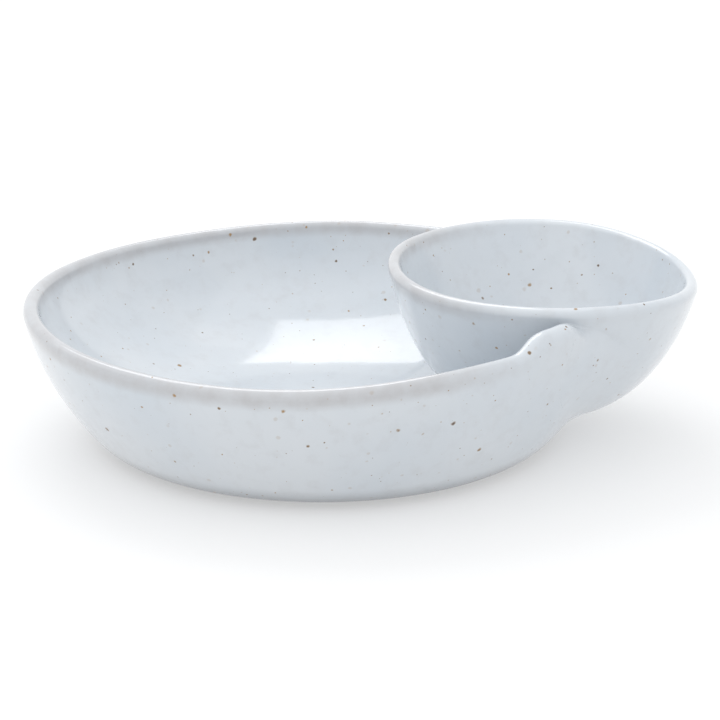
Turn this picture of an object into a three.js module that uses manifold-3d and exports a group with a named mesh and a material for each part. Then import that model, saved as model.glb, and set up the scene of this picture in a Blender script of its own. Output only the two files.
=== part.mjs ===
// A chip and dip server in glazed stoneware: a wide shallow bowl with a small deep bowl joined into one end.
// Millimetres, +Z up, the dip bowl at the +X end. The origin is on the table under the middle of the server.
import * as THREE from 'three';
import { mergeVertices } from 'three/addons/utils/BufferGeometryUtils.js';
import Module from 'manifold-3d';

const wasm = await Module();
wasm.setup();

const degrees = THREE.MathUtils.degToRad;

// Driving dimensions
const GAP = 0.3; // left between two pieces that touch
const AXIS_SPACING = 91.5; // from the serving bowl's axis to the dip bowl's
const FOOT = { inside: 79, outside: 86, height: 2.5, chamfer: 0.8 };
const SEAM = { inside: 5, outside: 4.5, top: 58.6 }; // thickness of the clay in each crease, and its top
const CUTTER_OVERSHOOT = 4; // how far a cutter stands above what it cuts

// Each bowl: the lip's middle radius, its thickness and lean, the heights, and the flat part's radius.
// belly and sweep are how far the wall's curve is pulled outwards from the base and downwards from the lip.
// The serving bowl's lip rises to a shoulder on each side, just before it runs into the dip bowl.
const SERVING = {
  lipRadius: 122.9,
  wall: 6.6,
  lean: degrees(10),
  height: 60.2,
  underside: FOOT.height,
  floor: 8.5,
  outer: { flat: 95, belly: 5.7, sweep: 24.9 },
  inner: { flat: 20, belly: 62, sweep: 21 },
  tilt: 0.009,
  widths: [{ turns: 2, share: 0.018, peak: 0 }, { turns: 3, share: 0.006, peak: degrees(21) }],
  lifts: [{ turns: 2, rise: 1.4, peak: degrees(-30) }, { turns: 3, rise: 1.4, peak: degrees(-40) }],
  shoulders: [
    { rise: 5.6, peak: degrees(-43.4), spread: degrees(6.7) },
    { rise: 5.2, peak: degrees(39.2), spread: degrees(6.7) },
  ],
};
const DIP = {
  lipRadius: 66.6,
  wall: 5.8,
  lean: degrees(18.5),
  height: 72.6,
  underside: 9.3,
  floor: 15.5,
  outer: { flat: 13, belly: 24, sweep: 38 },
  inner: { flat: 9, belly: 25, sweep: 38 },
  tilt: -0.041,
  widths: [{ turns: 2, share: 0.062, peak: degrees(90) }],
  lifts: [{ turns: 2, rise: 1.3, peak: degrees(90) }, { turns: 3, rise: 0.7, peak: degrees(60) }],
  shoulders: [],
};

// Fineness
const CURVE_STEPS = 7;
const SERVING_SIDES = 72;
const DIP_SIDES = 48;
const FOOT_SIDES = 48;

const glaze = (color) => new THREE.MeshStandardMaterial({ color, roughness: 0.12, metalness: 0 });
const bareClay = new THREE.MeshStandardMaterial({ color: '#b9a894', roughness: 0.85, metalness: 0 });

// Where the wall meets the round lip: side +1 is the outside of the bowl, -1 the inside.
function lipEdge(bowl, side) {
  const across = new THREE.Vector2(Math.cos(bowl.lean), -Math.sin(bowl.lean));
  const middle = new THREE.Vector2(bowl.lipRadius, bowl.height - bowl.wall / 2);
  return middle.addScaledVector(across, side * bowl.wall / 2);
}

// One face of the wall, from the edge of the flat part up to the lip.
function wallCurve(bowl, side) {
  const level = side > 0 ? bowl.underside : bowl.floor;
  const { flat, belly, sweep } = side > 0 ? bowl.outer : bowl.inner;
  const along = new THREE.Vector2(Math.sin(bowl.lean), Math.cos(bowl.lean));
  const top = lipEdge(bowl, side);
  return new THREE.CubicBezierCurve(
    new THREE.Vector2(flat, level),
    new THREE.Vector2(flat + belly, level),
    top.clone().addScaledVector(along, -sweep),
    top,
  );
}

// The bowl's closed half section: underside, outer face, round lip, inner face, floor.
function bowlSection(bowl) {
  const outer = wallCurve(bowl, 1);
  const inner = wallCurve(bowl, -1);
  const section = new THREE.Path();
  section.moveTo(0, bowl.underside);
  section.lineTo(outer.v0.x, outer.v0.y);
  section.bezierCurveTo(outer.v1.x, outer.v1.y, outer.v2.x, outer.v2.y, outer.v3.x, outer.v3.y);
  section.absarc(bowl.lipRadius, bowl.height - bowl.wall / 2, bowl.wall / 2, -bowl.lean, Math.PI - bowl.lean);
  section.bezierCurveTo(inner.v2.x, inner.v2.y, inner.v1.x, inner.v1.y, inner.v0.x, inner.v0.y);
  section.lineTo(0, bowl.floor);
  return section.getPoints(CURVE_STEPS);
}

// The half section of everything within one face of the wall, moved out by growth and flat at the top.
function filledSection(bowl, side, growth, top) {
  const curve = wallCurve(bowl, side);
  const points = [new THREE.Vector2(0, curve.v0.y - growth)];
  for (let i = 0; i <= CURVE_STEPS; i += 1) {
    const along = curve.getTangent(i / CURVE_STEPS);
    const point = curve.getPoint(i / CURVE_STEPS);
    points.push(point.add(new THREE.Vector2(along.y, -along.x).multiplyScalar(growth)));
  }
  const last = points.at(-1);
  const slope = Math.tan(bowl.lean);
  points.push(new THREE.Vector2(last.x + (top - last.y) * slope, top));
  points.push(new THREE.Vector2(0, top));
  return points;
}

// A turned shape about the bowl's axis, given the slight oval, tilt and waves of a bowl finished by hand.
function turned(section, bowl, sides) {
  const geometry = new THREE.LatheGeometry(section, sides);
  geometry.rotateX(Math.PI / 2);
  const position = geometry.getAttribute('position');
  const point = new THREE.Vector3();
  for (let i = 0; i < position.count; i += 1) {
    point.fromBufferAttribute(position, i);
    const angle = Math.atan2(point.y, point.x);
    const height = Math.max(point.z - bowl.underside, 0) / (bowl.height - bowl.underside);
    const share = height * Math.min(Math.hypot(point.x, point.y) / bowl.lipRadius, 1);
    const wave = ({ turns, peak }) => share * Math.cos(turns * (angle - peak));
    const widen = bowl.widths.reduce((sum, w) => sum + w.share * wave(w), 0);
    const waves = bowl.lifts.reduce((sum, w) => sum + w.rise * wave(w), share * bowl.tilt * point.x);
    const nearness = ({ peak, spread }) => share * Math.exp(-(((angle - peak) / spread) ** 4));
    const lift = bowl.shoulders.reduce((sum, s) => sum + s.rise * nearness(s), waves);
    position.setXYZ(i, point.x * (1 + widen), point.y * (1 + widen), point.z + lift);
  }
  return geometry;
}

// Closed geometry to a solid that can be joined and cut, and back.
function solid(geometry) {
  const bare = geometry.clone();
  bare.deleteAttribute('normal');
  bare.deleteAttribute('uv');
  const merged = mergeVertices(bare, 1e-3);
  const corners = Array.from(merged.index.array);
  const triangles = [];
  for (let i = 0; i < corners.length; i += 3) {
    const triangle = corners.slice(i, i + 3);
    if (new Set(triangle).size === 3) triangles.push(...triangle);
  }
  const vertProperties = new Float32Array(merged.getAttribute('position').array);
  const triVerts = new Uint32Array(triangles);
  return new wasm.Manifold(new wasm.Mesh({ numProp: 3, vertProperties, triVerts }));
}

function geometryOf(body) {
  const mesh = body.getMesh();
  const geometry = new THREE.BufferGeometry();
  geometry.setAttribute('position', new THREE.BufferAttribute(mesh.vertProperties, 3));
  geometry.setIndex(new THREE.BufferAttribute(mesh.triVerts, 1));
  geometry.computeVertexNormals();
  return geometry;
}

// Filled bodies used as cutters. Both are in the serving bowl's frame, where the dip bowl stands off to +X.
const dipBody = (growth) => solid(
  turned(filledSection(DIP, 1, growth, DIP.height + CUTTER_OVERSHOOT), DIP, DIP_SIDES)
    .translate(AXIS_SPACING, 0, 0),
);
const servingBody = (side, growth, top) => solid(
  turned(filledSection(SERVING, side, growth, top), SERVING, SERVING_SIDES),
);

function servingBowl() {
  const bowl = solid(turned(bowlSection(SERVING), SERVING, SERVING_SIDES));
  return geometryOf(bowl.subtract(dipBody(GAP)));
}

function dipBowl() {
  return turned(bowlSection(DIP), DIP, DIP_SIDES).translate(AXIS_SPACING, 0, 0);
}

// Clay in the crease inside the serving bowl, and under the dip bowl's rounded underside.
function innerSeamCoil() {
  const againstDip = dipBody(SEAM.inside).subtract(dipBody(GAP));
  const hollow = servingBody(-1, -SEAM.inside, SEAM.top + CUTTER_OVERSHOOT);
  const againstServing = servingBody(-1, -GAP, SEAM.top).subtract(hollow);
  return geometryOf(againstDip.intersect(againstServing));
}

// Clay in the crease outside, under the overhanging dip bowl.
function outerSeamCoil() {
  const againstDip = dipBody(SEAM.outside).subtract(dipBody(GAP));
  const bowl = servingBody(1, GAP, SEAM.top + CUTTER_OVERSHOOT);
  const againstServing = servingBody(1, SEAM.outside, SEAM.top).subtract(bowl);
  return geometryOf(againstDip.intersect(againstServing));
}

// A low ring with chamfered edges, flat on the table.
function footRing() {
  const { inside, outside, height, chamfer } = FOOT;
  const section = [
    [inside + chamfer, 0],
    [outside - chamfer, 0],
    [outside, chamfer],
    [outside, height - GAP],
    [inside, height - GAP],
    [inside, chamfer],
    [inside + chamfer, 0],
  ].map(([radius, level]) => new THREE.Vector2(radius, level));
  return new THREE.LatheGeometry(section, FOOT_SIDES).rotateX(Math.PI / 2);
}

const server = new THREE.Group();
const pieces = [
  ['serving_bowl', servingBowl(), glaze('#dfe3e8')],
  ['dip_bowl', dipBowl(), glaze('#dce1e7')],
  ['inner_seam_coil', innerSeamCoil(), glaze('#d6dce3')],
  ['outer_seam_coil', outerSeamCoil(), glaze('#d9dfe5')],
  ['foot_ring', footRing(), bareClay],
];
for (const [name, geometry, material] of pieces) {
  const piece = new THREE.Mesh(geometry, material);
  piece.name = name;
  server.add(piece);
}

// The origin is on the table, under the middle of the whole server.
const middle = new THREE.Box3().setFromObject(server, true).getCenter(new THREE.Vector3());
server.position.set(-middle.x, -middle.y, 0);

export default server;
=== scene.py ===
"""A chip and dip server in speckled stoneware: a wide shallow bowl with a small deep bowl joined into one end."""
import math

import bmesh
import bpy
import numpy as np
from bpy.props import FloatProperty, FloatVectorProperty, IntProperty, PointerProperty
from mathutils import Matrix, Vector, noise


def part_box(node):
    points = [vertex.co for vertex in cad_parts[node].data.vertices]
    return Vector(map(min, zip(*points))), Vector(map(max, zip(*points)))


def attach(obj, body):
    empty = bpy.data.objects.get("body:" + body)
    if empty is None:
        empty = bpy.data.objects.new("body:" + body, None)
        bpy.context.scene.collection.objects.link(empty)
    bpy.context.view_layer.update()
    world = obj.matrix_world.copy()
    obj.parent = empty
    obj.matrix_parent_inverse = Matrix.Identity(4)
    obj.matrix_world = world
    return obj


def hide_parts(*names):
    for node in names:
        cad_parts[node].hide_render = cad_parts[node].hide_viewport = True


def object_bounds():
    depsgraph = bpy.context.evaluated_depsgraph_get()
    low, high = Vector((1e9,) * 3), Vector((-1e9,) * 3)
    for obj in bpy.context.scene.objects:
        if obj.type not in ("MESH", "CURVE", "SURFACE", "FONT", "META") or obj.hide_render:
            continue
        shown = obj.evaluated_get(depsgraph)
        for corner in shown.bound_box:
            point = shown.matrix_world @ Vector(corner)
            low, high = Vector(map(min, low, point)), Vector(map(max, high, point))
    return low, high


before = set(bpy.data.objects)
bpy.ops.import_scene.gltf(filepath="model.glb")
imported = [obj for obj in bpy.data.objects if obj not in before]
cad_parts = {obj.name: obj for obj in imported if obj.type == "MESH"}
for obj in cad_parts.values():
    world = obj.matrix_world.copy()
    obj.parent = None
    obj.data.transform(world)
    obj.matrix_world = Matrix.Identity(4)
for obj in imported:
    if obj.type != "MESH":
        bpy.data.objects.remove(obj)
CAD_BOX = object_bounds()

bl_info = {
    "name": "Chip and Dip Server",
    "version": (1, 0, 0),
    "blender": (4, 5, 0),
    "location": "View3D > Sidebar > Server",
    "description": "Throws, joins and glazes a stoneware chip and dip server",
    "category": "Add Mesh",
}

MM = 0.001
TURN = 2 * math.pi
UP = Vector((0, 0, 1))
HAND_SEED = 5  # which hand's unevenness, so that it is the same in every run

noise.seed_set(HAND_SEED)


# Where things are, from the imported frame


def middle_of(node):
    """The middle of a CAD node's footprint."""
    low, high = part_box(node)
    return np.array([(low.x + high.x) / 2, (low.y + high.y) / 2, 0.0])


def top_of(node):
    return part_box(node)[1].z


def length(name, description, default):
    return FloatProperty(name=name, description=description, default=default, subtype="DISTANCE", unit="LENGTH")


def lengths(name, description, default):
    return FloatVectorProperty(
        name=name, description=description, default=default, size=len(default), subtype="XYZ_LENGTH", unit="LENGTH"
    )


def angle(name, description, default):
    return FloatProperty(
        name=name, description=description, default=math.radians(default), subtype="ANGLE", unit="ROTATION"
    )


def colour(name, description, default):
    return FloatVectorProperty(
        name=name, description=description, default=default, size=3, min=0, max=1, subtype="COLOR"
    )


class ServingBowlSizes(bpy.types.PropertyGroup):
    """The big shallow bowl. Belly and sweep are how far the wall's curve is drawn out from the base and the lip."""

    lip_radius: length("Lip radius", "From the bowl's axis to the middle of its lip", 0.1229)
    wall: length("Wall", "Thickness of the wall at the lip", 0.0066)
    lean: angle("Lean", "How far the wall leans out at the lip", 10)
    height: length("Height", "From the table to the top of the lip", 0.0602)
    underside: length("Underside", "From the table to the bowl's flat underside", 0.0025)
    floor: length("Floor", "From the table to the bowl's inner floor", 0.0085)
    outer_flat: length("Outer flat", "Radius of the flat underside", 0.095)
    outer_belly: length("Outer belly", "Pull of the outer curve at the base", 0.0057)
    outer_sweep: length("Outer sweep", "Pull of the outer curve at the lip", 0.0249)
    inner_flat: length("Inner flat", "Radius of the flat floor", 0.020)
    inner_belly: length("Inner belly", "Pull of the inner curve at the floor", 0.062)
    inner_sweep: length("Inner sweep", "Pull of the inner curve at the lip", 0.021)
    tilt: FloatProperty(name="Tilt", description="Rise of the lip per length towards the dip bowl", default=0.009)


class DipBowlSizes(bpy.types.PropertyGroup):
    """The small deep bowl, which leans out over the serving bowl's rim."""

    lip_radius: length("Lip radius", "From the bowl's axis to the middle of its lip", 0.0666)
    wall: length("Wall", "Thickness of the wall at the lip", 0.0058)
    lean: angle("Lean", "How far the wall leans out at the lip", 18.5)
    height: length("Height", "From the table to the top of the lip", 0.0726)
    underside: length("Underside", "From the table to the bowl's flat underside", 0.0093)
    floor: length("Floor", "From the table to the bowl's inner floor", 0.0155)
    outer_flat: length("Outer flat", "Radius of the flat underside", 0.013)
    outer_belly: length("Outer belly", "Pull of the outer curve at the base", 0.024)
    outer_sweep: length("Outer sweep", "Pull of the outer curve at the lip", 0.038)
    inner_flat: length("Inner flat", "Radius of the flat floor", 0.009)
    inner_belly: length("Inner belly", "Pull of the inner curve at the floor", 0.025)
    inner_sweep: length("Inner sweep", "Pull of the inner curve at the lip", 0.038)
    tilt: FloatProperty(name="Tilt", description="Rise of the lip per length away from the chips", default=-0.041)


class SeamSizes(bpy.types.PropertyGroup):
    """The clay smoothed into the crease between the two bowls, at three heights, inside and outside the big bowl."""

    inside_heights: lengths("Inside heights", "Heights of the next two rows of lengths", (0.010, 0.038, 0.066))
    inside_up: lengths("Inside up", "How far the clay runs up the dip bowl", (0.0040, 0.0055, 0.0020))
    inside_along: lengths("Inside along", "How far it runs along the serving bowl", (0.0040, 0.0070, 0.0040))
    outside_heights: lengths("Outside heights", "Heights of the next two rows of lengths", (0.006, 0.044, 0.068))
    outside_up: lengths("Outside up", "How far the clay runs up the dip bowl", (0.0040, 0.0120, 0.0024))
    outside_along: lengths("Outside along", "How far it runs along the serving bowl", (0.0040, 0.0150, 0.0090))
    crossing: length("Crossing", "How far the rim crossing lies towards the chips from the dip bowl's axis", -0.009)
    spacing: length("Spacing", "Distance between the sections along the seam", 0.0009)
    rows: IntProperty(name="Rows", description="Rows of faces from the seam's middle to each edge", default=12)


class FootSizes(bpy.types.PropertyGroup):
    """The bare ring that the server stands on."""

    round: length("Rounding", "Radius of the ring's lower edges", 0.0009)
    width: length("Width", "From the ring's inside to its outside", 0.007)
    sunk: length("Sunk", "How far the ring goes up into the bowl", 0.0008)


class GlazeLook(bpy.types.PropertyGroup):
    """The glaze and the clay under it, with the painted shade above the foot and over the lips."""

    pale: colour("Glaze", "Where the glaze is of middling thickness", (0.625, 0.655, 0.685))
    cool: colour("Pooled glaze", "Where the glaze is thick", (0.565, 0.610, 0.655))
    # Painted shade: a dark colour laid low on the outer wall, for the shade where the wall curves under towards the
    # table
    foot_shade: colour("Painted shade by the foot", "Painted shade low on the outer wall above the foot ring", (0.120, 0.130, 0.145))
    # Partly the glaze breaking thin over a lip and partly painted shade: this grey is darker than thin glaze alone,
    # for the shade on the lips
    thin_and_shade: colour("Thin glaze and painted shade", "Where the glaze breaks over a lip", (0.465, 0.460, 0.468))
    iron: colour("Iron speck", "The dark middle of a speck", (0.085, 0.045, 0.022))
    rust: colour("Rust speck", "The golden edge of a speck", (0.340, 0.200, 0.070))
    clay: colour("Bare clay", "The unglazed foot", (0.430, 0.345, 0.262))


class StudioSettings(bpy.types.PropertyGroup):
    """The camera and the light."""

    distance: length("Distance", "From the camera to the server", 0.9444)
    elevation: angle("Elevation", "Height of the camera above the horizon", 18.02)
    roll: angle("Roll", "Turn of the camera about its own axis", -0.30)
    aim_height: length("Aim height", "Height above the table that the camera looks at", 0.030)
    lens: FloatProperty(name="Lens", description="Focal length in millimetres", default=110)
    ground: colour("Ground", "The pale floor", (0.50, 0.50, 0.50))


# The bowls


def bezier(a, b, c, d, steps):
    t = np.linspace(0, 1, steps + 1)[:, None]
    return (1 - t) ** 3 * a + 3 * (1 - t) ** 2 * t * b + 3 * (1 - t) * t * t * c + t**3 * d


def eased(share):
    share = np.clip(share, 0, 1)
    return share * share * (3 - 2 * share)


def smooth_steps(x, marks, values):
    """Values that change softly from each mark to the next."""
    result = np.full_like(x, values[0])
    for start, end, first, last in zip(marks, marks[1:], values, values[1:]):
        result += (last - first) * eased((x - start) / (end - start))
    return result


def straight(a, b, steps):
    t = np.linspace(0, 1, steps + 1)[:, None]
    return (1 - t) * a + t * b


class Bowl:
    """A bowl's half section, and the slight oval, tilt and waves that finishing by hand leaves in it.

    Widths and lifts are waves round the bowl: how many, how much and where the peak is. Shoulders are places
    where the lip rises and swells: where the peak is, how wide, how high and by how much of its thickness.
    """

    LIP_REACH = 10 * MM
    CORRECTIONS = 9
    CORRECTION = 0.8

    def __init__(self, sizes, axis, widths, lifts, shoulders=()):
        self.sizes = sizes
        self.axis = axis
        self.widths = widths
        self.lifts = lifts
        self.shoulders = shoulders
        self.lip = np.array([sizes.lip_radius, sizes.height - sizes.wall / 2])

    def wall(self, side, steps):
        """The wall's curve from the flat up to the lip: side is 1 for the outer face and -1 for the inner."""
        size = self.sizes
        flat, level, belly, sweep = (
            inner + (outer - inner) * (1 + side) / 2
            for inner, outer in (
                (size.inner_flat, size.outer_flat),
                (size.floor, size.underside),
                (size.inner_belly, size.outer_belly),
                (size.inner_sweep, size.outer_sweep),
            )
        )
        across = np.array([math.cos(size.lean), -math.sin(size.lean)])
        along = np.array([math.sin(size.lean), math.cos(size.lean)])
        top = self.lip + side * size.wall / 2 * across
        return bezier(np.array([flat, level]), np.array([flat + belly, level]), top - sweep * along, top, steps)

    def lip_arc(self, first, last, steps):
        turn = np.linspace(first, last, steps + 1)[:, None]
        return self.lip + self.sizes.wall / 2 * np.hstack([np.cos(turn), np.sin(turn)])

    def section(self, wall_steps, lip_steps, flat_steps):
        """The wall's closed half section, from the axis out along the underside and back along the floor."""
        size = self.sizes
        outer, inner = self.wall(1, wall_steps), self.wall(-1, wall_steps)
        below = straight(np.array([0, size.underside]), outer[0], flat_steps)
        above = straight(inner[0], np.array([0, size.floor]), flat_steps)
        lip = self.lip_arc(-size.lean, math.pi - size.lean, lip_steps)
        return np.vstack([below[:-1], outer[:-1], lip[:-1], inner[::-1][:-1], above])

    def lidded(self, wall_steps, lip_steps):
        """The half section of everything under the outer face and a flat lid."""
        size = self.sizes
        lip = self.lip_arc(-size.lean, math.pi / 2, lip_steps)
        ends = np.array([[0, size.underside]]), np.array([[0, lip[-1][1]]])
        return np.vstack([ends[0], self.wall(1, wall_steps)[:-1], lip, ends[1]])

    def core(self, side, wall_steps):
        """The half section of everything inside the curve at that side of the wall."""
        wall = self.wall(side, wall_steps)
        return np.vstack([[[0, wall[0][1]]], wall, [[0, wall[-1][1]]]])

    def share(self, local):
        """How far up the wall each point is, from 0 at the base to 1 at the lip, fading to 0 at the axis."""
        size = self.sizes
        height = np.maximum(local[:, 2] - size.underside, 0) / (size.height - size.underside)
        return height * np.minimum(np.hypot(local[:, 0], local[:, 1]) / size.lip_radius, 1)

    def finish(self, turned):
        """Points of the truly round bowl, moved to where the hand-finished bowl has them."""
        local = turned - self.axis
        share = self.share(local)
        around = np.arctan2(local[:, 1], local[:, 0])
        radius = np.hypot(local[:, 0], local[:, 1])
        widen, waves = (
            sum(amount * np.cos(turns * (around - peak)) for turns, amount, peak in rounds)
            for rounds in (self.widths, self.lifts)
        )
        widen = widen * share
        lift = (waves + self.sizes.tilt * local[:, 0]) * share
        from_lip = np.stack([radius, local[:, 2]], axis=1) - self.lip
        lip_end = np.exp(-((from_lip / self.LIP_REACH) ** 2).sum(1))
        for peak, spread, rise, swell in self.shoulders:
            nearness = np.exp(-(((around - peak) / spread) ** 4))
            widen += nearness * lip_end * swell * from_lip[:, 0] / np.maximum(radius, MM)
            lift += nearness * (share * rise + lip_end * swell * from_lip[:, 1])
        moved = local * np.stack([1 + widen, 1 + widen, np.ones_like(widen)], axis=1)
        moved[:, 2] += lift
        return moved + self.axis

    def unfinish(self, points):
        """The other way round, by repeated correction."""
        turned = points.copy()
        for _ in range(self.CORRECTIONS):
            turned += self.CORRECTION * (points - self.finish(turned))
        return turned

    def flattened(self, points):
        """Each point's distance from the axis and its height, on the truly round bowl."""
        turned = self.unfinish(points) - self.axis
        return np.stack([np.hypot(turned[:, 0], turned[:, 1]), turned[:, 2]], axis=1)

    def nearest(self, points, line):
        """Which stretch of a half section is nearest to each point."""
        along = line[1:] - line[:-1]
        offset = self.flattened(points)[:, None, :] - line[:-1]
        share = np.clip((offset * along).sum(-1) / (along**2).sum(-1), 0, 1)
        return ((offset - share[..., None] * along) ** 2).sum(-1).argmin(1)

    def clearance(self, points, line, stretch):
        """Distance from each point to its stretch of the half section, less than zero inside the clay."""
        start, along = line[stretch], line[stretch + 1] - line[stretch]
        offset = self.flattened(points) - start
        share = np.clip((offset * along).sum(-1) / (along**2).sum(-1), 0, 1)
        gap = np.linalg.norm(offset - share[:, None] * along, axis=1)
        side = along[:, 0] * offset[:, 1] - along[:, 1] * offset[:, 0]
        return np.where(side > 0, -gap, gap)

    def lip_distance(self, points):
        """Distance from each point to the middle of the lip."""
        return np.linalg.norm(self.flattened(points) - self.lip, axis=1)


def serving_bowl_shape():
    return Bowl(
        bpy.context.scene.serving_bowl_sizes,
        middle_of("foot_ring"),
        widths=[(2, 0.018, 0), (3, 0.006, math.radians(21))],
        lifts=[(2, 1.4 * MM, math.radians(-30)), (3, 1.4 * MM, math.radians(-40))],
        shoulders=[
            (math.radians(-43.4), math.radians(6.7), 4.8 * MM, 0.5),
            (math.radians(39.2), math.radians(6.7), 4.4 * MM, 0.5),
        ],
    )


def dip_bowl_shape():
    return Bowl(
        bpy.context.scene.dip_bowl_sizes,
        middle_of("dip_bowl"),
        widths=[(2, 0.062, math.radians(90))],
        lifts=[(2, 1.3 * MM, math.radians(90)), (3, 0.7 * MM, math.radians(60))],
    )


# The hand's last touches, the same over every piece so that the pieces stay together

BROAD_WAVES = 55 * MM, 0.42 * MM  # length and depth of the unevenness that fingers leave
FINE_WAVES = 19 * MM, 0.07 * MM
STEADY_HEIGHT = 6 * MM  # below this the clay stands on the wheel and keeps its shape
THIN_AND_SHADE_REACH = 2.6 * MM  # how far from a lip the glaze runs thin and the painted shade on the lips reaches
DIP_END_LIGHT_SHARE = 0.9  # how much of the lips' grey is taken off towards the dip bowl's end, as painted light on the lips there
DIP_END_LIGHT_FROM = 20 * MM
DIP_END_LIGHT_OVER = 50 * MM


def pressed(points):
    """The soft unevenness of clay that was pressed and smoothed by hand."""
    out = np.empty_like(points)
    for i, point in enumerate(points):
        place = Vector(point)
        broad = noise.noise_vector(place / BROAD_WAVES[0] + Vector((3.1, 0, 0)))
        fine = noise.noise_vector(place / FINE_WAVES[0] + Vector((0, 7.3, 0)))
        still = min(point[2] / STEADY_HEIGHT, 1.0)
        out[i] = place + (broad * BROAD_WAVES[1] + fine * FINE_WAVES[1]) * still
    return out


def thinness_and_shade(points, bowls):
    """How thin the glaze runs, which also sets the painted shade on the lips: 1 on the crest of a lip, 0 on the
    walls, less towards the dip bowl's end, where painted light keeps the lips pale.
    """
    away = np.min([bowl.lip_distance(points) - bowl.sizes.wall / 2 for bowl in bowls], axis=0)
    # Painted light: the lips towards the dip bowl's end are kept paler, for the light that falls on them
    dip_end_light = DIP_END_LIGHT_SHARE * eased((points[:, 0] - DIP_END_LIGHT_FROM) / DIP_END_LIGHT_OVER)
    return np.clip(1 - away / THIN_AND_SHADE_REACH, 0, 1) ** 1.5 * (1 - dip_end_light)


# Making meshes


def points_of(bm):
    return np.array([v.co for v in bm.verts], float)


def place_points(bm, points):
    for vert, point in zip(bm.verts, points):
        vert.co = point


def spun(section, axis, sides, closed=False):
    """A half section turned once round the upright axis."""
    bm = bmesh.new()
    verts = [bm.verts.new((axis[0] + radius, axis[1], level)) for radius, level in section]
    pairs = list(zip(verts, verts[1:])) + ([(verts[-1], verts[0])] if closed else [])
    edges = [bm.edges.new(pair) for pair in pairs]
    bmesh.ops.spin(
        bm, geom=verts + edges, cent=tuple(axis), axis=UP, angle=TURN, steps=sides, use_merge=True
    )
    bmesh.ops.remove_doubles(bm, verts=bm.verts, dist=1e-6)
    bmesh.ops.recalc_face_normals(bm, faces=bm.faces)
    if bm.calc_volume(signed=True) < 0:
        bmesh.ops.reverse_faces(bm, faces=bm.faces)
    return bm


def made(name, bm, nodes, material):
    """The finished mesh as a piece that rides with the server and stands for its CAD nodes."""
    for face in bm.faces:
        face.smooth = True
    mesh = bpy.data.meshes.new(name)
    bm.to_mesh(mesh)
    bm.free()
    piece = bpy.data.objects.new(name, mesh)
    bpy.context.scene.collection.objects.link(piece)
    mesh.materials.append(material)
    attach(piece, "root")
    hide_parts(*nodes)
    return piece


def apply_modifiers(piece):
    graph = bpy.context.evaluated_depsgraph_get()
    mesh = bpy.data.meshes.new_from_object(piece.evaluated_get(graph), depsgraph=graph)
    piece.modifiers.clear()
    old, piece.data = piece.data, mesh
    mesh.name = piece.name
    bpy.data.meshes.remove(old)


def touch_up(piece, *bowls):
    """Presses the finished mesh by hand, and notes where its glaze runs thin and painted shade greys the lips of
    those bowls.
    """
    mesh = piece.data
    points = np.empty(len(mesh.vertices) * 3)
    mesh.vertices.foreach_get("co", points)
    points = points.reshape(-1, 3)
    thin_and_shade = mesh.attributes.new("thin_glaze_and_shade", "FLOAT", "POINT")
    thin_and_shade.data.foreach_set("value", thinness_and_shade(points, bowls))
    mesh.vertices.foreach_set("co", pressed(points).ravel())
    mesh.update()


class ServingBowlMake(bpy.types.Operator):
    """Make the big shallow bowl, with its wall cut away where the dip bowl sits"""

    bl_idname = "server.make_serving_bowl"
    bl_label = "Serving Bowl"

    def execute(self, context):
        bowl, dip = serving_bowl_shape(), dip_bowl_shape()
        bm = spun(bowl.section(wall_steps=48, lip_steps=28, flat_steps=8), bowl.axis, sides=400)
        place_points(bm, bowl.finish(points_of(bm)))
        material = glaze("Serving bowl glaze")
        piece = made("serving_bowl_body", bm, ["serving_bowl"], material)
        core = spun(dip.core(side=-0.2, wall_steps=32), dip.axis, sides=96)
        place_points(core, dip.finish(points_of(core)))
        core_mesh = bpy.data.meshes.new("dip_core")
        core.to_mesh(core_mesh)
        core.free()
        cutter = bpy.data.objects.new("dip_core", core_mesh)
        context.scene.collection.objects.link(cutter)
        cut = piece.modifiers.new("notch", "BOOLEAN")
        cut.operation, cut.object, cut.solver = "DIFFERENCE", cutter, "EXACT"
        apply_modifiers(piece)
        bpy.data.objects.remove(cutter)
        bpy.data.meshes.remove(core_mesh)
        touch_up(piece, bowl)
        return {"FINISHED"}


class DipBowlMake(bpy.types.Operator):
    """Make the small deep bowl"""

    bl_idname = "server.make_dip_bowl"
    bl_label = "Dip Bowl"

    def execute(self, context):
        bowl = dip_bowl_shape()
        bm = spun(bowl.section(wall_steps=60, lip_steps=20, flat_steps=3), bowl.axis, sides=300)
        place_points(bm, bowl.finish(points_of(bm)))
        piece = made("dip_bowl_body", bm, ["dip_bowl"], glaze("Dip bowl glaze"))
        touch_up(piece, bowl)
        return {"FINISHED"}


# The seam: a band of clay that leaves each wall smoothly where the other comes within its reach


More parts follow.
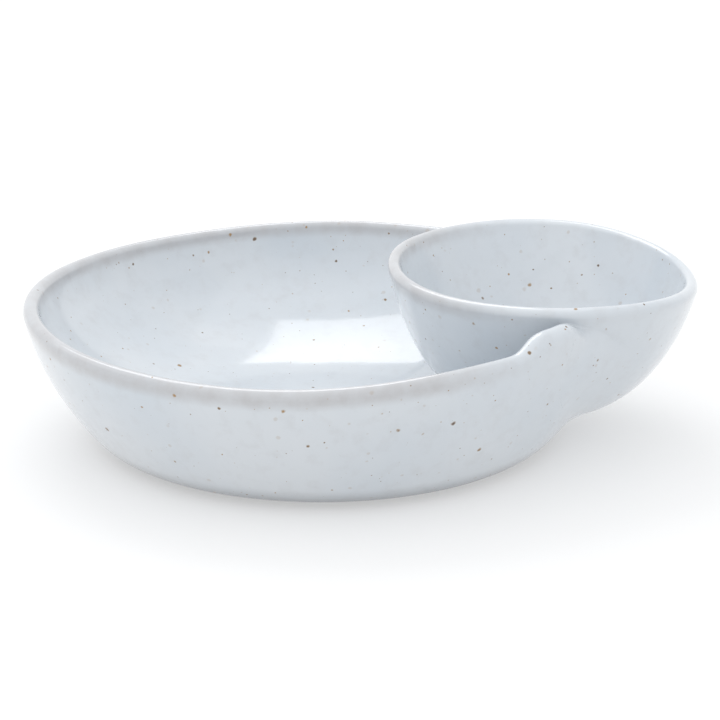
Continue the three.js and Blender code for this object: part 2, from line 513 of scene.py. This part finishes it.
class Seam:
    """The smoothed crease between the serving bowl's wall and floor and the dip bowl's outside."""

    PROUD = 0.02 * MM  # how far the band's middle stands above the smoothed clay
    DEPTH = 1.2 * MM  # how far it goes into the walls
    EDGE = 1.08  # where the band has gone under the walls, as a share of its reach
    CROSSING_BLEND = 12 * MM

    def __init__(self, sizes):
        self.sizes = sizes
        self.serving, self.dip = serving_bowl_shape(), dip_bowl_shape()
        self.serving_line = self.serving.section(wall_steps=90, lip_steps=40, flat_steps=1)
        self.dip_line = self.dip.lidded(wall_steps=90, lip_steps=24)

    def reaches(self, points):
        """How far the smoothing reaches along the serving bowl and up the dip bowl at each height."""
        size = self.sizes
        outside = eased((points[:, 0] - self.dip.axis[0] - size.crossing) / self.CROSSING_BLEND + 0.5)
        reaches = []
        for inner, outer in ((size.inside_along, size.outside_along), (size.inside_up, size.outside_up)):
            within = smooth_steps(points[:, 2], size.inside_heights, inner)
            beyond = smooth_steps(points[:, 2], size.outside_heights, outer)
            reaches.append(within + (beyond - within) * outside)
        return reaches

    def measures(self, points, stretches):
        """Height above the smoothed clay, and how much nearer the dip bowl is, from -1 to 1 over the band."""
        serving = self.serving.clearance(points, self.serving_line, stretches[0])
        dip = self.dip.clearance(points, self.dip_line, stretches[1])
        along, up = self.reaches(points)
        lead = serving / up - dip / along
        height = np.minimum(serving / up, dip / along) - np.maximum(1 - np.abs(lead), 0) ** 2 / 4
        return np.stack([height * (up + (along - up) * eased((1 + lead) / 2)), lead * MM])

    def slopes(self, points):
        """Both measures at each point, and how each rises along X, Y and Z."""
        step = 0.02 * MM
        ways = np.vstack([np.zeros(3), np.eye(3), -np.eye(3)]) * step
        stretches = [
            np.repeat(bowl.nearest(points, line), len(ways))
            for bowl, line in ((self.serving, self.serving_line), (self.dip, self.dip_line))
        ]
        values = self.measures((points[:, None, :] + ways).reshape(-1, 3), stretches).reshape(2, -1, len(ways))
        rises = (values[..., 1:4] - values[..., 4:7]) / (2 * step)
        return values[..., 0].T, rises.transpose(1, 0, 2)

    def settle(self, points, height, lead, rounds=3):
        """Moves points by the shortest way to where both measures have the wanted values."""
        for _ in range(rounds):
            values, slope = self.slopes(points)
            miss = np.array([height, lead * MM]) - values
            square = slope @ slope.transpose(0, 2, 1) + 1e-7 * np.eye(2)
            step = (slope.transpose(0, 2, 1) @ np.linalg.solve(square, miss[..., None]))[..., 0]
            size = np.linalg.norm(step, axis=1)[:, None]
            points = points + step * np.minimum(1, 2 * MM / np.maximum(size, 1e-12))
        return points

    def ridge(self):
        """The seam's closed middle line, walked from the point in front of the dip bowl."""
        start = self.dip.axis + np.array([-30 * MM, 0, self.serving.sizes.floor + 4 * MM])
        here = self.settle(start[None], 0, 0, rounds=20)
        line = [here[0]]
        for step in range(2000):
            slope = self.slopes(here)[1][0]
            way = np.cross(slope[0], slope[1])
            here = self.settle(here + way / np.linalg.norm(way) * MM, 0, 0, rounds=2)
            line.append(here[0])
            if step > 50 and np.linalg.norm(here[0] - line[0]) < 1.2 * MM:
                return np.array(line)
        raise RuntimeError("the seam's middle line doesn't close")

    def stations(self):
        """Evenly spaced points on the middle line, closer together round the tight turns over the rims."""
        line = self.ridge()
        line = np.vstack([line, line[:1]])
        steps = np.diff(line, axis=0)
        lengths = np.linalg.norm(steps, axis=1)
        ways = steps / lengths[:, None]
        turning = np.linalg.norm(np.roll(ways, -1, axis=0) - ways, axis=1)
        turning = np.convolve(np.tile(turning, 3), np.ones(5) / 5, "same")[len(turning) : 2 * len(turning)]
        travel = np.concatenate([[0], np.cumsum(lengths + 0.004 * turning)])
        count = int(travel[-1] / self.sizes.spacing)
        marks = np.linspace(0, travel[-1], count, endpoint=False)
        even = np.stack([np.interp(marks, travel, line[:, k]) for k in range(3)], axis=1)
        return self.settle(even, 0, 0)

    def evened(self, row):
        """The row's points shared out along it more evenly, which closes up the fan over a rim."""
        closed = np.vstack([row, row[:1]])
        steps = np.linalg.norm(np.diff(closed, axis=0), axis=1)
        travel = np.concatenate([[0], np.cumsum(steps)])
        smooth = np.convolve(np.tile(steps, 3), np.hanning(43)[1:-1], "same")[len(steps) : 2 * len(steps)]
        marks = np.concatenate([[0], np.cumsum(smooth)[:-1]]) * (travel[-1] / smooth.sum())
        return np.stack([np.interp(marks, travel, closed[:, k]) for k in range(3)], axis=1)

    def rows(self):
        """Rows of points round the band: over the top from the serving bowl to the dip bowl, and back below."""
        half = self.sizes.rows
        over = [(row / half, self.PROUD * (1 - (row / half) ** 2)) for row in range(1, half + 1)]
        over += [(self.EDGE, -self.PROUD), (self.EDGE, -self.DEPTH)]
        middle = self.settle(self.stations(), self.PROUD, 0)
        sides = []
        for side in (-1, 1):
            row, side_rows = middle, []
            for lead, height in over:
                spread = self.evened(self.settle(row, height, side * lead))
                row = self.settle(spread, height, side * lead, rounds=2)
                side_rows.append(row)
            sides.append(side_rows)
        below = self.settle(middle, -self.DEPTH, 0)
        return np.array([below] + sides[0][::-1] + [middle] + sides[1])


RING_RADIUS = 4  # of the plain ring that the band is laid out on, whose section has a radius of 1


class SeamMake(bpy.types.Operator):
    """Make the clay smoothed into the crease between the bowls"""

    bl_idname = "server.make_seam"
    bl_label = "Seam"

    def execute(self, context):
        seam = Seam(context.scene.seam_sizes)
        rows = seam.rows()
        count = rows.shape[1]
        turns = [TURN * row / len(rows) for row in range(len(rows))]
        ring = [(RING_RADIUS + math.cos(turn), math.sin(turn)) for turn in turns]
        bm = spun(ring, np.zeros(3), sides=count, closed=True)
        for vert in bm.verts:
            around = math.atan2(vert.co.z, math.hypot(vert.co.x, vert.co.y) - RING_RADIUS)
            row = round(around / TURN * len(rows)) % len(rows)
            station = round(math.atan2(vert.co.y, vert.co.x) / TURN * count) % count
            vert.co = rows[row, station]
        bmesh.ops.recalc_face_normals(bm, faces=bm.faces)
        material = glaze("Seam glaze")
        piece = made("seam_body", bm, ["inner_seam_coil", "outer_seam_coil"], material)
        touch_up(piece, seam.serving, seam.dip)
        return {"FINISHED"}


class FootMake(bpy.types.Operator):
    """Make the bare foot ring"""

    bl_idname = "server.make_foot"
    bl_label = "Foot Ring"

    def execute(self, context):
        sizes = context.scene.foot_sizes
        axis = middle_of("foot_ring")
        low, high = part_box("foot_ring")
        outside = (high.x - low.x) / 2
        inside = outside - sizes.width
        top = top_of("foot_ring") + sizes.sunk
        corners = [(inside, low.z), (outside, low.z), (outside, top), (inside, top)]
        bm = spun(corners, axis, sides=224, closed=True)
        lower = [
            edge for edge in bm.edges
            if all(vert.co.z < low.z + 1e-6 for vert in edge.verts)
            and abs(edge.link_faces[0].normal.z - edge.link_faces[1].normal.z) > 0.5
        ]
        bmesh.ops.bevel(
            bm, geom=lower, offset=sizes.round, offset_type="OFFSET", affect="EDGES",
            segments=5, profile=0.5, material=-1,
        )
        made("foot_ring_body", bm, ["foot_ring"], bare_clay("Bare foot clay"))
        return {"FINISHED"}


# Shader arithmetic


class Signal:
    """A shader socket that Python arithmetic can be done on."""

    def __init__(self, shader, socket):
        self.shader = shader
        self.socket = socket

    def math(self, operation, *others, first=None):
        inputs = [self if first is None else first, *others]
        if first is not None:
            inputs.insert(1, self)
        node = self.shader.add("ShaderNodeMath", {"operation": operation}, dict(enumerate(inputs)))
        return Signal(self.shader, node.outputs[0])

    def __add__(self, other):
        return self.math("ADD", other)

    def __sub__(self, other):
        return self.math("SUBTRACT", other)

    def __rsub__(self, other):
        return self.math("SUBTRACT", first=other)

    def __mul__(self, other):
        return self.math("MULTIPLY", other)

    def __truediv__(self, other):
        return self.math("DIVIDE", other)

    def __pow__(self, other):
        return self.math("POWER", other)

    __radd__ = __add__
    __rmul__ = __mul__

    def at_least(self, other):
        return self.math("MAXIMUM", other)

    def at_most(self, other):
        return self.math("MINIMUM", other)

    def clamped(self):
        return self.at_least(0).at_most(1)


class Shader:
    """A material being mixed."""

    def __init__(self, name):
        self.material = bpy.data.materials.new(name)
        self.material.use_nodes = True
        self.tree = self.material.node_tree
        self.tree.nodes.clear()
        place = self.add("ShaderNodeTexCoord")
        self.place = Signal(self, place.outputs["Object"])

    def add(self, kind, settings=None, sockets=None):
        """Any node: its settings first, then what its sockets hold or are fed with."""
        node = self.tree.nodes.new(kind)
        for key, value in (settings or {}).items():
            if key == "stops":
                for stop, (position, shade) in zip(node.color_ramp.elements, value):
                    stop.position, stop.color = position, (*shade, 1)
            else:
                setattr(node, key, value)
        for key, value in (sockets or {}).items():
            socket = node.inputs[key]
            if isinstance(value, Signal):
                self.tree.links.new(value.socket, socket)
            elif socket.type == "RGBA":
                socket.default_value = (*value[:3], 1)
            else:
                socket.default_value = value
        return node

    def height(self):
        """Height above the table."""
        return Signal(self, self.add("ShaderNodeSeparateXYZ", {}, {0: self.place}).outputs["Z"])

    def radius(self, axis):
        """Distance from an upright axis."""
        parts = self.add("ShaderNodeSeparateXYZ", {}, {0: self.place})
        x, y = (Signal(self, parts.outputs[way]) - float(axis[way]) for way in range(2))
        return (x * x + y * y) ** 0.5

    def noise(self, scale, detail=2.0, roughness=0.5, place=None):
        """Cloudy variation from about 0 to 1, with the scale in clouds per metre."""
        sockets = {"Vector": place or self.place, "Scale": scale, "Detail": detail, "Roughness": roughness}
        return Signal(self, self.add("ShaderNodeTexNoise", {}, sockets).outputs["Fac"])

    def shifted(self, offset, wobble_scale=None, wobble=0.0):
        """The place on the object, moved aside and, if asked, shaken by a little noise."""
        place = Signal(
            self, self.add("ShaderNodeVectorMath", {"operation": "ADD"}, {0: self.place, 1: offset}).outputs[0]
        )
        if wobble_scale is None:
            return place
        shake = self.add("ShaderNodeTexNoise", {}, {"Vector": place, "Scale": wobble_scale, "Detail": 3})
        scaled = self.add(
            "ShaderNodeVectorMath", {"operation": "MULTIPLY_ADD"},
            {0: Signal(self, shake.outputs["Color"]), 1: (wobble,) * 3, 2: place},
        )
        return Signal(self, scaled.outputs[0])

    def blend(self, factor, first, second):
        """Colours mixed from first to second."""
        node = self.add("ShaderNodeMix", {"data_type": "RGBA"}, {0: factor, 6: first, 7: second})
        return Signal(self, node.outputs[2])

    def bump(self, height, distance, strength=1.0):
        node = self.add("ShaderNodeBump", {}, {"Height": height, "Distance": distance, "Strength": strength})
        return Signal(self, node.outputs["Normal"])

    def finish(self, **sockets):
        sockets = {key.replace("_", " "): value for key, value in sockets.items()}
        surface = self.add("ShaderNodeBsdfPrincipled", {}, sockets)
        self.add("ShaderNodeOutputMaterial", {}, {"Surface": Signal(self, surface.outputs[0])})
        return self.material


def specks(shader, spacing, largest, offset, spread):
    """Round-ish specks, at most one to a cell: how strongly each shows, and a number of its own for its tone."""
    place = shader.shifted(offset, wobble_scale=1 / (1.6 * largest), wobble=largest * 0.9)
    cells = shader.add("ShaderNodeTexVoronoi", {"voronoi_dimensions": "3D"}, {"Vector": place, "Scale": 1 / spacing})
    parts = shader.add("ShaderNodeSeparateColor", {}, {0: Signal(shader, cells.outputs["Color"])})
    size, tone = Signal(shader, parts.outputs[0]), Signal(shader, parts.outputs[1])
    radius = (size**spread * largest).at_least(0.05 * MM)
    distance = Signal(shader, cells.outputs["Distance"]) * spacing
    return ((radius - distance) / (radius * 0.45)).clamped(), tone


# Each spray of iron: cell size, largest radius, offset, how rare the large ones are, and strength
IRON_SPRAYS = [
    (10.5 * MM, 1.30 * MM, (0.31, 0.12, 0.57), 0.9, 0.95),
    (6.6 * MM, 0.75 * MM, (0.77, 0.41, 0.23), 1.1, 0.90),
    (3.6 * MM, 0.40 * MM, (0.15, 0.93, 0.38), 1.3, 0.75),
]
FOOT_SHADE_HEIGHT = 11 * MM  # how high the painted shade above the foot goes
FOOT_SHADE_FROM = 84 * MM  # the radius at which it starts, and over what width
FOOT_SHADE_OVER = 4 * MM


def glaze(name):
    """Glossy pale grey-white stoneware glaze with iron specks, bluer where it pools, greyer over the lips where it
    runs thin and with painted shade there, and with painted shade low on the outer wall above the foot.
    """
    look = bpy.context.scene.glaze_look
    shader = Shader(name)
    clouds = shader.noise(16, detail=3)
    mottle = shader.noise(140, detail=4, roughness=0.6)
    thin_and_shade = Signal(shader, shader.add("ShaderNodeAttribute", {"attribute_name": "thin_glaze_and_shade"}).outputs["Fac"])
    body = shader.blend(((clouds - 0.38) * 2.6).clamped(), look.pale, look.cool)
    body = shader.blend(((mottle - 0.5) * 0.9).clamped(), body, look.thin_and_shade)
    # Greyer over the lips: thin glaze, with painted shade on top of it
    body = shader.blend((thin_and_shade * 0.75 + (mottle - 0.5) * thin_and_shade * 0.8).clamped(), body, look.thin_and_shade)
    # Painted shade: beyond the foot ring's radius the outer wall darkens towards the table
    beyond = ((shader.radius(middle_of("foot_ring")) - FOOT_SHADE_FROM) / FOOT_SHADE_OVER).clamped()
    body = shader.blend((1 - shader.height() / FOOT_SHADE_HEIGHT).clamped() ** 1.4 * beyond, body, look.foot_shade)
    for spacing, largest, offset, spread, strength in IRON_SPRAYS:
        mask, tone = specks(shader, spacing, largest, offset, spread)
        shade = shader.blend((tone * 1.3 - 0.15).clamped(), look.iron, look.rust)
        edge = shader.blend(mask, look.rust, shade)
        body = shader.blend(mask**0.8 * strength, body, edge)
    faint, _ = specks(shader, 7 * MM, 1.3 * MM, (0.52, 0.66, 0.81), 1.4)
    body = shader.blend(faint * 0.22, body, look.rust)
    ripple = shader.noise(90, detail=2) + shader.noise(420, detail=2) * 0.12
    return shader.finish(
        Base_Color=body,
        Roughness=(0.10 + mottle * 0.05 + faint * 0.05).clamped(),
        IOR=1.52,
        Coat_Weight=0.35,
        Coat_Roughness=0.03,
        Normal=shader.bump(ripple, distance=0.00006),
    )


def bare_clay(name):
    """Matte buff stoneware with fine grog."""
    look = bpy.context.scene.glaze_look
    shader = Shader(name)
    grain = shader.noise(900, detail=5, roughness=0.7)
    patches = shader.noise(45, detail=3)
    body = shader.blend(((patches - 0.35) * 1.6).clamped(), look.clay, tuple(v * 0.8 for v in look.clay))
    mask, _ = specks(shader, 3.5 * MM, 0.4 * MM, (0.2, 0.5, 0.9), 1.0)
    body = shader.blend(mask * 0.7, body, look.iron)
    return shader.finish(
        Base_Color=body, Roughness=(0.78 + grain * 0.15).clamped(), Normal=shader.bump(grain, distance=0.00012)
    )


# The studio


def aimed(way, roll):
    """The turn that points a lamp or a camera that way, with its own roll."""
    return (way.to_track_quat("-Z", "Y").to_matrix() @ Matrix.Rotation(roll, 3, "Z")).to_euler()


def paper(name, shade):
    """Matte white paper with a faint tooth."""
    shader = Shader(name)
    tooth = shader.noise(600, detail=3)
    body = shader.blend(tooth, shade, tuple(v * 0.985 for v in shade))
    return shader.finish(
        Base_Color=body, Roughness=0.9, Specular_IOR_Level=0.1, Emission_Color=(1, 1, 1), Emission_Strength=0.42
    )


# Each soft box: its place, width, depth, power in watts, and turn about its own axis
SOFT_BOXES = {
    "key": ((-0.25, 0.755, 1.06), 0.72, 0.69, 4.1, math.radians(-9)),
    "inner fill": ((-0.50, -0.05, 1.9), 1.8, 1.4, 3, 0),
    "middle fill": ((-0.50, -0.05, 1.9), 2.8, 2.2, 7, 0),
    "outer fill": ((-0.50, -0.05, 1.9), 3.8, 3.0, 13, 0),
}
LIGHT_AIM = (0, 0, 0.02)
SKY = (0.97, 0.985, 1.0)
FLOOR_RADIUS = 8


def soft_box(name, place, width, depth, power, roll):
    lamp = bpy.data.lights.new(name, "AREA")
    lamp.shape, lamp.size, lamp.size_y = "RECTANGLE", width, depth
    lamp.energy = power
    holder = bpy.data.objects.new(name, lamp)
    holder.location = place
    holder.rotation_euler = aimed(Vector(LIGHT_AIM) - Vector(place), roll)
    bpy.context.scene.collection.objects.link(holder)


class StageMake(bpy.types.Operator):
    """Set up the pale floor, the soft light and the camera"""

    bl_idname = "server.make_stage"
    bl_label = "Stage"

    def execute(self, context):
        scene = context.scene
        studio = scene.studio_settings
        middle = (CAD_BOX[0] + CAD_BOX[1]) / 2
        target = Vector((middle.x, middle_of("foot_ring")[1], studio.aim_height))
        back = Vector((0, -math.cos(studio.elevation), math.sin(studio.elevation)))
        camera = bpy.data.cameras.new("Camera")
        camera.lens, camera.sensor_width = studio.lens, 36
        camera.clip_start, camera.clip_end = 0.05, 50
        holder = bpy.data.objects.new("Camera", camera)
        holder.location = target + back * studio.distance
        holder.rotation_euler = aimed(-back, studio.roll)
        scene.collection.objects.link(holder)
        scene.camera = holder

        bm = bmesh.new()
        bmesh.ops.create_circle(bm, cap_ends=True, segments=64, radius=FLOOR_RADIUS)
        mesh = bpy.data.meshes.new("floor")
        bm.to_mesh(mesh)
        bm.free()
        mesh.materials.append(paper("Floor paper", studio.ground))
        floor = bpy.data.objects.new("floor", mesh)
        scene.collection.objects.link(floor)

        world = bpy.data.worlds.new("Studio")
        world.use_nodes = True
        world.node_tree.nodes["Background"].inputs[0].default_value = (*SKY, 1)
        scene.world = world
        for name, settings in SOFT_BOXES.items():
            soft_box(name, *settings)
        scene.view_settings.view_transform = "Standard"
        return {"FINISHED"}


class ServerPanel(bpy.types.Panel):
    """The pieces and the stage, in the order they are made"""

    bl_idname = "VIEW3D_PT_server"
    bl_label = "Chip and Dip Server"
    bl_space_type = "VIEW_3D"
    bl_region_type = "UI"
    bl_category = "Server"

    def draw(self, context):
        for maker in MAKERS:
            self.layout.operator(maker.bl_idname)
        for group in GROUPS:
            box = self.layout.box()
            for key in group.__annotations__:
                box.prop(getattr(context.scene, GROUPS[group]), key)


GROUPS = {
    ServingBowlSizes: "serving_bowl_sizes",
    DipBowlSizes: "dip_bowl_sizes",
    SeamSizes: "seam_sizes",
    FootSizes: "foot_sizes",
    GlazeLook: "glaze_look",
    StudioSettings: "studio_settings",
}
MAKERS = [ServingBowlMake, DipBowlMake, SeamMake, FootMake, StageMake]


def register():
    for group, key in GROUPS.items():
        bpy.utils.register_class(group)
        setattr(bpy.types.Scene, key, PointerProperty(type=group))
    for maker in [*MAKERS, ServerPanel]:
        bpy.utils.register_class(maker)


def unregister():
    for maker in [ServerPanel, *reversed(MAKERS)]:
        bpy.utils.unregister_class(maker)
    for group, key in reversed(GROUPS.items()):
        delattr(bpy.types.Scene, key)
        bpy.utils.unregister_class(group)


def main():
    register()
    bpy.ops.server.make_serving_bowl()
    bpy.ops.server.make_dip_bowl()
    bpy.ops.server.make_seam()
    bpy.ops.server.make_foot()
    bpy.ops.server.make_stage()


if __name__ == "__main__":
    main()
